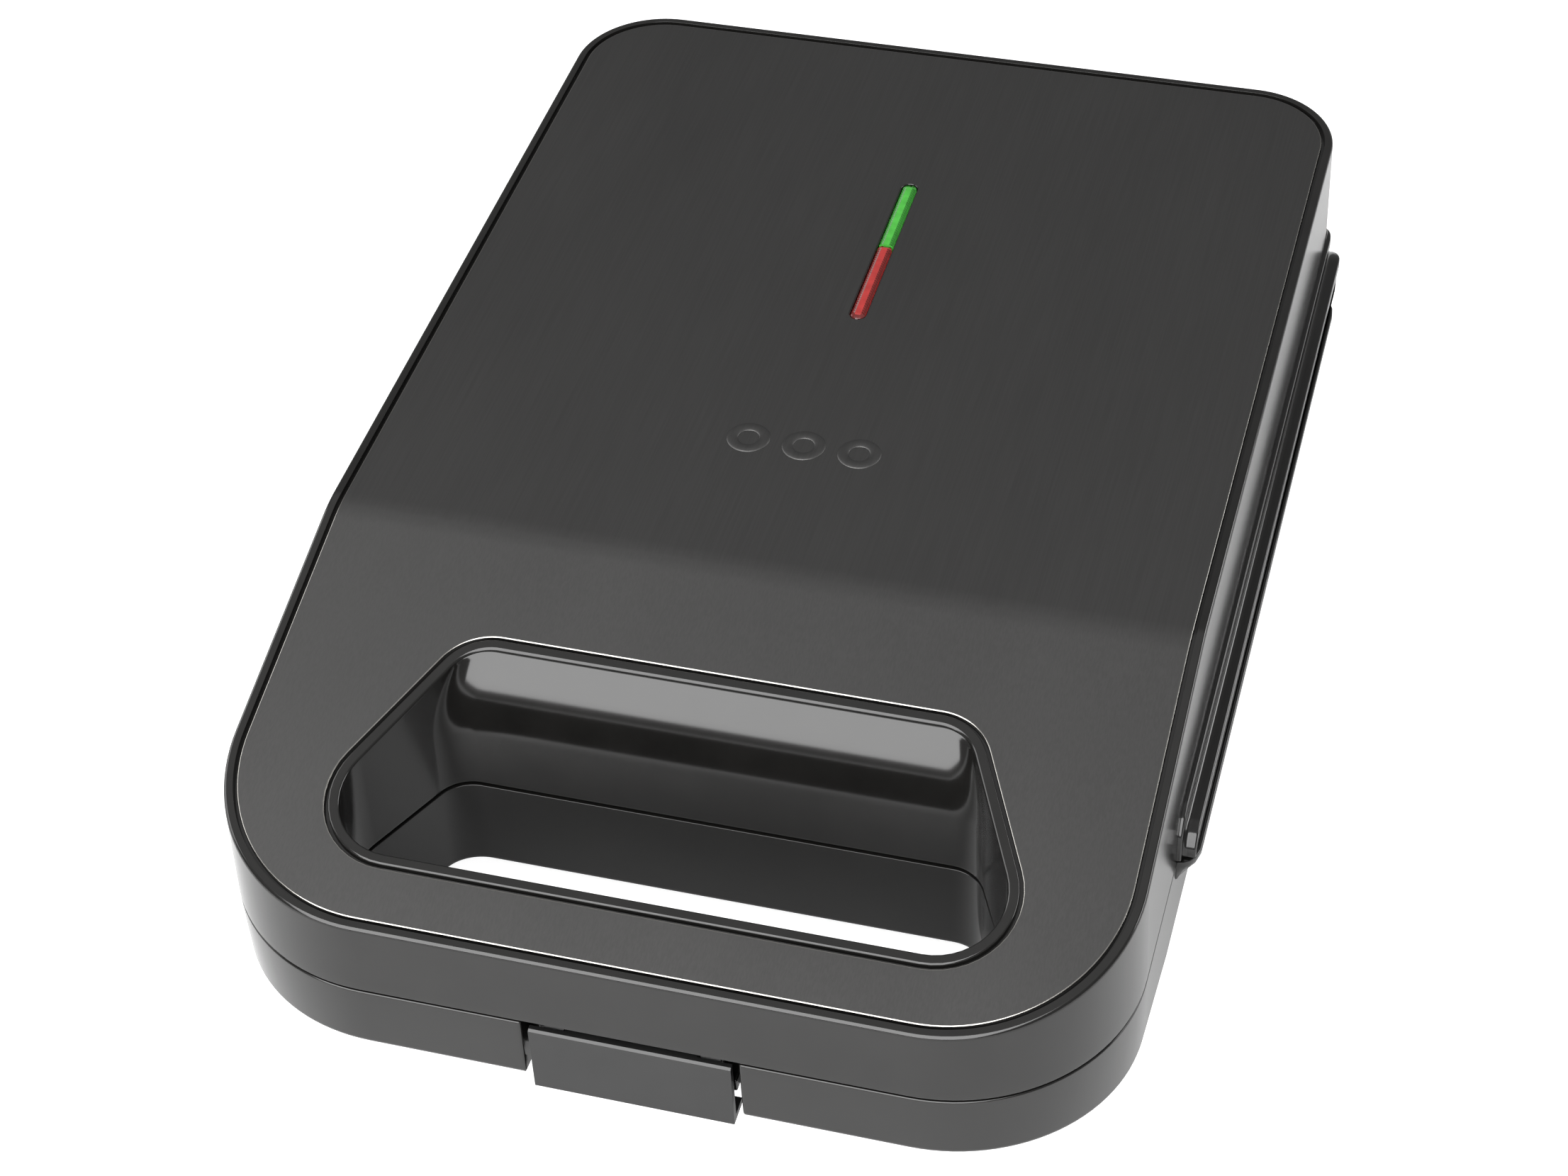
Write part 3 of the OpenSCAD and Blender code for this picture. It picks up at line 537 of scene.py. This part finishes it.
# ---------------------------------------------------------------- lid casing
def lid_casing():
    s = Shape()
    rings = [ring(body, WALL, LID_Z + 9), ring(body, WALL, LID_Z + 0.2), ring(body, WALL - 0.2, LID_Z)]
    rings += [ring(body, d, z) for d, z in quarter(0.5, LID_Z, 0.02, LID_Z + 0.5, 3, False)]
    for t in (0.15, 0.5, 0.85):
        rings.append(ring(body, DRAFT * t, lambda y, t=t: LID_Z + (top_z(y) - 1.6 - LID_Z) * t))
    rings += [ring(body, d, drop(e)) for d, e in quarter(DRAFT, 1.0, 1.6, 0, 9, True)]
    inner = PLATE_INSET - GROOVE
    rings += [ring(body, d, drop(e)) for d, e in quarter(inner - 0.16, 0.0, inner, 0.14, 2, False)]
    rings += [ring(body, inner, drop(SEAT_E)), ring(body, PLATE_INSET + 0.8, drop(SEAT_E))]
    s.loft(rings)

    def zt(y):
        return top_z(y) + RIM_PROUD

    rings = [ring(grip_top, -0.8, drop(SEAT_E)), ring(grip_top, GROOVE, drop(SEAT_E))]
    rings += [ring(grip_top, d, drop(e)) for d, e in quarter(GROOVE, 0.5, 1.4, 0, 5, True)]
    rings += [ring(grip_top, d, drop(e)) for d, e in quarter(GRIP_LIP - 0.8, 0, GRIP_LIP, 0.8, 7, False)]
    s_rear = GRIP_WALL_Y + KNUCKLE_R
    z_start = zt(GRIP_REAR_Y - GRIP_LIP) - 0.8 - 0.3

    def level(zr, weight):
        dy = math.sqrt(max(0.0, KNUCKLE_R**2 - max(0.0, zr - KNUCKLE_Z) ** 2))
        y_rear = s_rear - dy
        t = (y_rear - (GRIP_REAR_Y - GRIP_LIP)) / (GRIP_WALL_Y - GRIP_REAR_Y + GRIP_LIP)
        rr = GRIP_LIP_R + (GRIP_WALL_R - GRIP_LIP_R) * t
        o = grip(y_rear + GRIP_LIP, rr + GRIP_LIP)
        return ring(o, GRIP_LIP, lambda y: zr + (zt(y) - zt(y_rear)) * weight)

    start = math.asin((z_start - KNUCKLE_Z) / KNUCKLE_R)
    zs = [KNUCKLE_Z + KNUCKLE_R * math.sin(a) for a in np.linspace(start, 0, 24)]
    for z in zs:
        rings.append(level(z, (z - KNUCKLE_Z) / (z_start - KNUCKLE_Z)))
    for z in (KNUCKLE_Z - 1, KNUCKLE_Z - 9, LID_Z + 1.4):
        rings.append(level(z, 0))
    seam = [(0.0, 0.8), (0.08, 0.7), (0.6, 0.65), (0.7, 0.0), (WALL - 0.2, 0.0), (WALL, 0.2), (WALL, 9)]
    rings += [ring(grip_low, GRIP_LIP - d, LID_Z + z) for d, z in seam]
    s.loft(rings)
    return s


def add_side_ridges(s):
    """Two stepped ridges on each side of the lid, with coves and ends that melt into the wall."""
    for side in (1, -1):
        for i, (out, h) in enumerate(zip(SKIRT_OUT, SKIRT_H)):
            y0, y1 = SKIRT_FRONT + 2 * i, SKIRT_REAR + 9 - 3 * i
            top = LID_Z + h
            o = Outline(
                [(y1, LID_Z - 30), (y1, top), (y0, top), (y0, LID_Z - 30)],
                [8, 14, 8 - 1.5 * i, 8], seg=[3, 14, 12, 3], fractions=(0.04, 0.08, 0.3, 0.6, 0.9, 0.95),
            )
            start = BODY_HALF + (SKIRT_OUT[0] - 0.3 if i else -0.5)
            end = BODY_HALF + out
            cove = 1.1 if i else 1.0
            edge = 0.55
            rings = []
            steps = quarter(-cove, start, 0.0, start + (end - start) * 0.4, 5, False)
            steps += quarter(0.0, end - edge, edge, end, 5, True)
            steps += [(edge + 0.8, end), (edge + 2.0, end + 0.02)]
            for d, x in steps:
                row = []
                for y, z in o.at(d):
                    fall = max(0.0, y - (BACK_Y - REAR_R))
                    back = REAR_R - math.sqrt(max(0.0, REAR_R**2 - fall**2))
                    t = min(1.0, max(0.0, (y - 148) / (SKIRT_REAR + 9 - 148)))
                    stay = 0.5 + 0.5 * math.cos(math.pi * t)
                    rel = x - BODY_HALF + back
                    zz = max(z, LID_Z)
                    out_x = BODY_HALF - back + (rel * stay if rel > 0 else rel) - DRAFT * (zz - LID_Z) / 47
                    row.append((side * out_x, y, zz))
                rings.append(row)
            ids = s.loft(rings)
            s.cap(ids[-1])


def barrel(y, r, angles):
    """Arc of a hinge knuckle around the pin, as y and z; angles are in degrees."""
    return [(y + r * math.cos(math.radians(t)), PARTING + r * math.sin(math.radians(t))) for t in angles]


def hinge_lugs(s, spans, web, up):
    """Hinge knuckles; web is the height of their root, up is 1 for the lid and -1 for the base."""
    for side in (-1, 1):
        for a, b in spans:
            x0, x1 = side * HINGE_X + a, side * HINGE_X + b
            pts = [
                (BACK_Y - 1.2, web + up * 1.4), (BACK_Y + 0.9, web + up * 0.6),
                (HINGE_Y + 1.0, PARTING + up * HINGE_R * 0.98),
            ]
            pts += barrel(HINGE_Y, HINGE_R, np.linspace(up * 78, -up * 180, 22))
            pts += [(BACK_Y + 0.62, PARTING + up * 0.3), (BACK_Y - 1.2, PARTING + up * 0.3)]
            pts = np.array(pts)
            c = pts.mean(0)
            e = 0.45
            rings = []
            for k, x in ((e, x0), (0.13, x0 + 0.13), (0, x0 + e), (0, x1 - e), (0.13, x1 - 0.13), (e, x1)):
                q = pts - (pts - c) / np.linalg.norm(pts - c, axis=1)[:, None] * k
                rings.append([(x, y, z) for y, z in q])
            ids = s.loft(rings)
            s.cap(ids[0])
            s.cap(ids[-1])


shape = lid_casing()
lid = shape.make("lid_casing", CASING, 40)
finish_piece(lid, "lid", ["lid_shell"])
shape = Shape()
add_side_ridges(shape)
ridges = shape.make("lid_side_ridges", CASING, 50)
finish_piece(ridges, "lid")
shape = Shape()
hinge_lugs(shape, [(-8, 8)], PARTING + 10, 1)
finish_piece(shape.make("lid_hinge_knuckles", CASING, 40), "lid")


# ---------------------------------------------------------------- cover plate
def add_flat_uv(o):
    """Plan-view UV map; the brushed finish takes its direction from it."""
    uv = o.data.uv_layers.new(name="flat")
    for loop in o.data.loops:
        v = o.data.vertices[loop.vertex_index].co
        uv.data[loop.index].uv = (v.x * 4 + 0.5, v.y * 4 + 0.5)


def cover_plate():
    s = Shape()
    c = 0.32
    bottom = lambda y: top_z(y) - PLATE_T
    sx, sy0, sy1 = WINDOW_W / 2 + 0.1, WINDOW[0] - 0.1, WINDOW[1] + 0.1
    slot = Outline(
        [(sx, sy0), (sx, sy1), (-sx, sy1), (-sx, sy0)],
        [2.29] * 4, seg=8, pad=0.3,
    )
    edge = [(c * (1 - math.cos(a)), c * (1 - math.sin(a))) for a in np.linspace(0, math.pi / 2, 5)]
    tops = []
    for o, base, sign in ((body, PLATE_INSET, 1), (grip_top, 0.0, -1), (slot, 0.0, -1)):
        rings = [ring(o, base + sign * 0.6, bottom), ring(o, base, bottom)]
        rings += [ring(o, base + sign * d, (lambda e: lambda y: top_z(y) - e)(e)) for d, e in edge]
        s.loft(rings[:2] + [rings[2]], mat=2 if o is slot else 0)
        last = s.loft(rings[2:], mat=2 if o is slot else 1)
        tops.append(last[-1])
    outer = tops[0]
    left = [i for i in outer if s.v[i][0] < -100]
    right = [i for i in outer if s.v[i][0] > 100]
    lines = []
    for y in BEND_YS:
        a = min(left, key=lambda i: abs(s.v[i][1] - y))
        b = min(right, key=lambda i: abs(s.v[i][1] - y))
        lines.append((a, b))
    s.fill([outer], [tops[1], tops[2]], True, top_z, lines)
    o = s.make("cover_plate", [PLATE, PLATE_EDGE, CASING], 30)
    add_flat_uv(o)
    return o


plate = cover_plate()
finish_piece(plate, "lid", ["lid_top_plate"])


def embossed_rings(y, spacing, ring_r, band, rise):
    """Three plain donut rings pressed up from the plate, as a generic ornament."""
    s = Shape()
    for k in (-1, 0, 1):
        rings = []
        for a in np.linspace(0, math.pi, 9):
            r = ring_r + band * math.cos(a)
            rings.append(circle(k * spacing, y, r, PLATE_TOP - 0.02 + rise * math.sin(a), 64))
        s.loft(rings)
    return s


rings_o = embossed_rings(-16.0, 15.0, 4.3, 1.5, 0.32).make("embossed_rings", PLATE, 60)
add_flat_uv(rings_o)
finish_piece(rings_o, "lid")


# ---------------------------------------------------------------- base casing
base_plan = Outline(
    [
        (BODY_HALF, FRONT_Y), (BODY_HALF, BACK_Y), (-BODY_HALF, BACK_Y), (-BODY_HALF, FRONT_Y),
        (-NOTCH_HALF, FRONT_Y), (-NOTCH_HALF, FRONT_Y + NOTCH_DEPTH),
        (NOTCH_HALF, FRONT_Y + NOTCH_DEPTH), (NOTCH_HALF, FRONT_Y),
    ],
    [FRONT_R, REAR_R, REAR_R, FRONT_R, 0.7, 0.8, 0.8, 0.7],
    seg=[28, 22, 22, 28, 4, 4, 4, 4], cuts=[-138, -100, -120, -60, 0, 60, 120], fractions=(0.3, 0.6),
)


def base_casing():
    s = Shape()
    r = 1.8
    up = lambda e: (lambda y: under_z(y) + e)
    rings = [ring(base_plan, d, BASE_Z - e) for d, e in [(WALL, 9), (WALL, 0.2), (WALL - 0.2, 0)]]
    rings += [ring(base_plan, d, z) for d, z in quarter(0.45, BASE_Z, 0.02, BASE_Z - 0.45, 3, False)]
    rings.append(ring(base_plan, 0.1, lambda y: (BASE_Z + under_z(y)) / 2))
    rings += [ring(base_plan, d, up(e)) for d, e in quarter(0.25, r, 0.25 + r, 0, 6, True)]
    outer = s.loft(rings)[-1]
    seam = [(WALL, 9), (WALL, 0.2), (WALL - 0.2, 0), (0.2, 0), (0.08, 0.03), (0.02, 0.08), (0.0, 0.2)]
    rings = [ring(grip_low, GRIP_LIP - d, BASE_Z - e) for d, e in seam]
    rings.append(ring(grip_low, GRIP_LIP, lambda y: under_z(y) + 1.4))
    lip = [(0.0, 1.0), (0.13, 0.5), (0.5, 0.13), (1.0, 0.0)]
    rings += [ring(grip_low, GRIP_LIP - d, up(e)) for d, e in lip]
    inner = s.loft(rings)[-1]
    lines = []
    for y in (-138, -100):
        a = min((i for i in outer if s.v[i][0] < -100), key=lambda i: abs(s.v[i][1] - y))
        b = min((i for i in outer if s.v[i][0] > 100), key=lambda i: abs(s.v[i][1] - y))
        lines.append((a, b))
    holes = [inner]
    for x, y in SCREW_WELLS:
        for cx in (x, -x):
            well = [(3.5, under_z), (3.2, up(0.12)), (3.1, up(0.4)), (3.1, 21.4), (1.6, 21.4), (1.6, 24)]
            rings = [circle(cx, y, r, z) for r, z in well]
            ids = s.loft(rings)
            s.cap(ids[-1])
            holes.append(ids[0])
    for x, y in FEET:
        for cx in (x, -x):
            boss = [(9.4, 10), (8.7, 9.8), (8.2, 9.2), (8.0, 8.5), (8.0, 4.5), (7.6, 4.0)]
            rings = [circle(cx, y, r, z) for r, z in boss]
            ids = s.loft(rings)
            s.cap(ids[-1])
            holes.append(ids[0])
    s.fill([outer], holes, False, under_z, lines)
    return s


base = base_casing().make("base_casing", CASING, 40)
finish_piece(base, "base", ["base_shell"])


def base_rails():
    s = Shape()
    for side in (1, -1):
        prof = [(-1.0, 0)] + [(RAIL_OUT - 0.5, 0)]
        for a in np.linspace(0.3, math.pi / 2, 4):
            prof.append((RAIL_OUT - 0.5 + 0.5 * math.sin(a), -0.5 + 0.5 * math.cos(a)))
        prof += [(RAIL_OUT, -1.6), (RAIL_OUT - 0.25, -2.4), (1.0, -6.2), (-1.0, -7.6)]
        ys = [SKIRT_FRONT + step for step in (0, 0.4, 1.4, 3.2, 6, 9)]
        ys += [-40, 20, 80, 110, 125, 130, 133.5, 136.5, RAIL_REAR - 1, RAIL_REAR]
        rings = []
        for y in ys:
            t0 = min(1.0, (y - SKIRT_FRONT) / 7)
            t1 = min(1.0, (RAIL_REAR - y) / 9)
            k = math.sqrt(max(0.0, 1 - (1 - t0) ** 2)) * math.sqrt(max(0.0, 1 - (1 - t1) ** 2))
            row = [(px * k if px > 0 else px, BASE_Z + pz) for px, pz in prof]
            rings.append([(side * (BODY_HALF + px - 0.05), y, z) for px, z in row])
        ids = s.loft(rings)
        s.cap(ids[0])
        s.cap(ids[-1])
    return s


def rounded_block(name, lo, hi, r, mat, body):
    """Small moulded block with rounded edges."""
    bm = bmesh.new()
    size = Vector(hi) - Vector(lo)
    mid = (Vector(hi) + Vector(lo)) / 2
    place = Matrix.Translation(mid * 0.001) @ Matrix.Diagonal((*(size * 0.001), 1))
    bmesh.ops.create_cube(bm, size=1, matrix=place)
    bmesh.ops.bevel(bm, geom=bm.edges[:], offset=r * 0.001, segments=3, profile=0.5, affect="EDGES")
    me = bpy.data.meshes.new(name)
    bm.to_mesh(me)
    bm.free()
    me.materials.append(mat)
    o = bpy.data.objects.new(name, me)
    bpy.context.scene.collection.objects.link(o)
    smooth(o, 40)
    return finish_piece(o, body)


catch_y = FRONT_Y + NOTCH_DEPTH
rounded_block(
    "latch_catch_rib", (-24, catch_y - 2.5, 20.6), (24, catch_y + 0.6, 24.6), 0.5, CASING, "base"
)


finish_piece(base_rails().make("base_side_rails", CASING, 40), "base")
shape = Shape()
hinge_lugs(shape, [(-16.3, -8.3), (8.3, 16.3)], PARTING - 11, -1)
finish_piece(shape.make("base_hinge_knuckles", CASING, 40), "base")

# ---------------------------------------------------------------- CAD shapes with worked edges
cad_copy("latch", "latch_plate", LATCH, 0.35)
cad_copy("rubber_feet", "rubber_feet_moulded", RUBBER, 0.8)
cad_copy("cord_gland", "cord_gland_bush", RUBBER, 0.5)
cad_copy("base_inner_frame", "base_inner_frame_moulded", FRAME, 0.4)
cad_copy("lid_inner_frame", "lid_inner_frame_moulded", FRAME, 0.4)
cad_copy("lower_cooking_plate", "lower_cooking_plate_cast", COOK, 0.7)
cad_copy("upper_cooking_plate", "upper_cooking_plate_cast", COOK, 0.7)
cad_copy("hinge_pins", "hinge_pins_turned", STEEL, 0.3)
cad_copy("latch_pin", "latch_pin_turned", STEEL, 0.2)


def lens(name, y0, y1, mats, replaces, square_start=False):
    """Ribbed lens bar: flat crown, ends that round downwards and a row of fine teeth down each flank; the
    ends and the gaps between the teeth take the second material as painted shade.
    """
    s = Shape()
    half = WINDOW_W / 2 - 0.2
    n = 2 * int((y1 - y0) / 0.95)
    rings = []
    for i in range(n + 1):
        y = y0 + (y1 - y0) * i / n
        end = y1 - y if square_start else min(y - y0, y1 - y)
        w = half * math.sqrt(max(0.02, 1 - max(0.0, 1 - end / half) ** 2))
        t = 0.34 if i % 2 and end > 1.6 else 0.0
        zc = PLATE_TOP + 0.25 - 1.0 * max(0.0, 1 - end / 2.2) ** 2
        flank = [
            (w, PLATE_TOP - 2.5), (w, PLATE_TOP - 0.9), (w - t, PLATE_TOP - 0.3 - t),
            (w * 0.78 - t, zc - 0.16 - t), (w * 0.42, zc),
        ]
        rings.append([(x, y, z) for x, z in flank] + [(-x, y, z) for x, z in reversed(flank)])
    ids = s.loft(rings)
    sides = len(rings[0])
    # Painted shade: faces near the rounded ends, and alternate flank faces in the teeth, take the darker
    # second material
    for k in range(n):
        y = y0 + (y1 - y0) * (k + 0.5) / n
        end = y1 - y if square_start else min(y - y0, y1 - y)
        painted_shade_faces = range(sides) if end < 1.4 else (2, 3, 5, 6) if k % 2 else ()
        for j in painted_shade_faces:
            s.m[k * sides + j] = 1
    s.cap(ids[0])
    s.cap(ids[-1])
    o = s.make(name, mats, 12, weighted=False)
    finish_piece(o, "lid", replaces)


lens(
    "green_indicator", WINDOW_SPLIT - 0.2, WINDOW[1] - 0.15,
    [GREEN, GREEN_PAINTED_SHADE], ["green_lens"], square_start=True,
)
lens("red_indicator", WINDOW[0] + 0.15, WINDOW_SPLIT + 0.1, [RED, RED_PAINTED_SHADE], ["red_lens"])

# ---------------------------------------------------------------- CAD nodes that only get a finish
for n, m in {
    "lower_heater": HEATER, "upper_heater": HEATER,
    "lower_reflector": REFLECTOR, "upper_reflector": REFLECTOR,
    "lower_plate_screws": STEEL, "upper_plate_screws": STEEL, "base_screws": STEEL, "lid_screws": STEEL,
    "cord_clamp_screws": STEEL, "terminal_block": CERAMIC, "cord_clamp": NYLON, "lamp_holder": NYLON,
    "base_wiring": SLEEVE, "lid_wiring": SLEEVE, "green_lamp": LAMP, "red_lamp": LAMP,
    "thermostat": PHENOLIC, "thermal_fuse": REFLECTOR,
}.items():
    for k in range(len(NODES[n].material_slots)):
        NODES[n].material_slots[k].material = m

# ---------------------------------------------------------------- floor, light and camera
FLOOR_R = 6000
SWEEP_R = 1500
CAMERA_PLACE = (0.187626, -0.63849, 0.64314)
CAMERA_LENS = 75.06
scene = bpy.context.scene


def ground(name, z, albedo, glow, wall):
    """Round pale floor that sweeps up into a wall of the given height, softly lit from within."""
    sheet = Shape()
    rings = [circle(0, 0, r, z, 96) for r in (200, 1500, FLOOR_R)]
    if wall:
        for a in np.linspace(0.1, math.pi / 2, 8):
            rings.append(circle(0, 0, FLOOR_R + SWEEP_R * math.sin(a), z + SWEEP_R * (1 - math.cos(a)), 96))
        rings.append(circle(0, 0, FLOOR_R + SWEEP_R, z + wall, 96))
    ids = sheet.loft(rings)
    sheet.cap(ids[0])
    mat, nt, bs = new_material(name)
    tint = ramp(nt, noise(nt, (1, 1, 1), 3, 2), [(0.3, albedo * 0.98), (0.7, albedo)])
    nt.links.new(tint, bs.inputs["Base Color"])
    bs.inputs["Roughness"].default_value = 0.9
    bs.inputs["Emission Color"].default_value = (1, 1, 1, 1)
    bs.inputs["Emission Strength"].default_value = glow
    o = sheet.make(name, mat, 30, weighted=False)
    return o


# Two floors: a bright backdrop that only the camera sees, and a plain sheet that the casing mirrors
floor = ground("floor", 0, 0.4, 0.93, 9000)
floor.visible_glossy = floor.visible_diffuse = floor.visible_shadow = floor.visible_transmission = False
mirrored = ground("floor_for_reflections", -0.2, 0.6, 0.05, 0)
mirrored.visible_camera = False

world = bpy.data.worlds.new("studio")
scene.world = world
world.use_nodes = True
wn = world.node_tree
wn.nodes["Background"].inputs[0].default_value = (1, 1, 1, 1)
wn.nodes["Background"].inputs[1].default_value = 0.3


def area(name, place, aim, size, power):
    data = bpy.data.lights.new(name, "AREA")
    data.shape = "RECTANGLE"
    data.size, data.size_y = size
    data.energy = power
    o = bpy.data.objects.new(name, data)
    scene.collection.objects.link(o)
    o.visible_camera = False
    o.location = place
    o.rotation_euler = (Vector(aim) - Vector(place)).to_track_quat("-Z", "Y").to_euler()


area("softbox_front", (-0.2, -1.35, 1.15), (0, -0.1, 0.05), (2.2, 2.2), 103)
area("softbox_top", (0, 0.3, 2.2), (0, 0, 0), (2.8, 2.8), 10)
area("softbox_left", (-1.6, 0.2, 0.9), (0, 0, 0.05), (1.2, 1.2), 14)
area("softbox_right", (1.7, 0.9, 0.75), (0.2, 0.1, 0.0), (1.5, 0.6), 18)

cam_data = bpy.data.cameras.new("camera")
cam = bpy.data.objects.new("camera", cam_data)
scene.collection.objects.link(cam)
cam_data.sensor_width = 36
cam_data.lens = CAMERA_LENS
cam_data.clip_start = 0.05
right = Vector((0.9634, 0.2653, -0.0374))
down = Vector((0.1548, -0.6648, -0.7308))
fwd = Vector((-0.2187, 0.6983, -0.6816))
rot = Matrix((right, -down, -fwd)).transposed().to_4x4()
cam.matrix_world = Matrix.Translation(CAMERA_PLACE) @ rot
scene.camera = cam
scene.view_settings.view_transform = "Standard"
